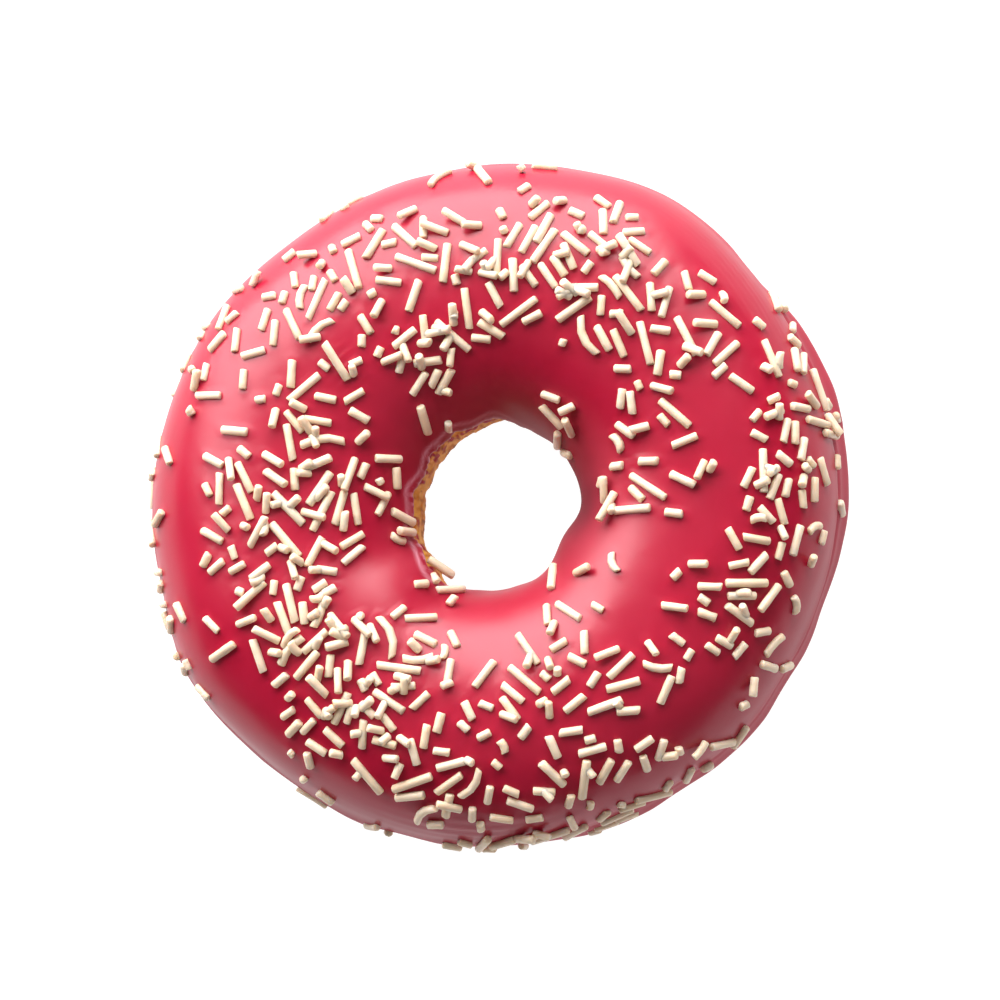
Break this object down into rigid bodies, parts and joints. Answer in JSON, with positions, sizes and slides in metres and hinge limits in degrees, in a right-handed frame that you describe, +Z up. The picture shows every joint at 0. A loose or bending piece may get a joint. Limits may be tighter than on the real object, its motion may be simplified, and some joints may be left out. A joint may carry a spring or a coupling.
{
  "type": "sprinkle frosted doughnut",
  "caption": "Fried ring doughnut with a glossy pink icing coat over its top and sides, scattered with short cream sugar strands.",
  "frame": {"origin": "middle of the doughnut's bounding box, on the flat face it rests on", "axes": "+Z up through the hole; +X and +Y across the ring"},
  "size_m": [0.092, 0.0902, 0.0311],
  "materials": {
    "fried_crust": "fried dough, slightly greasy",
    "set_icing": "glossy set icing with cream sugar strands",
    "sugar_strand": "satin sugar"
  },
  "bodies": {
    "root": {"dough_ring": "fried_crust", "icing": "set_icing"}
  },
  "joints": []
}
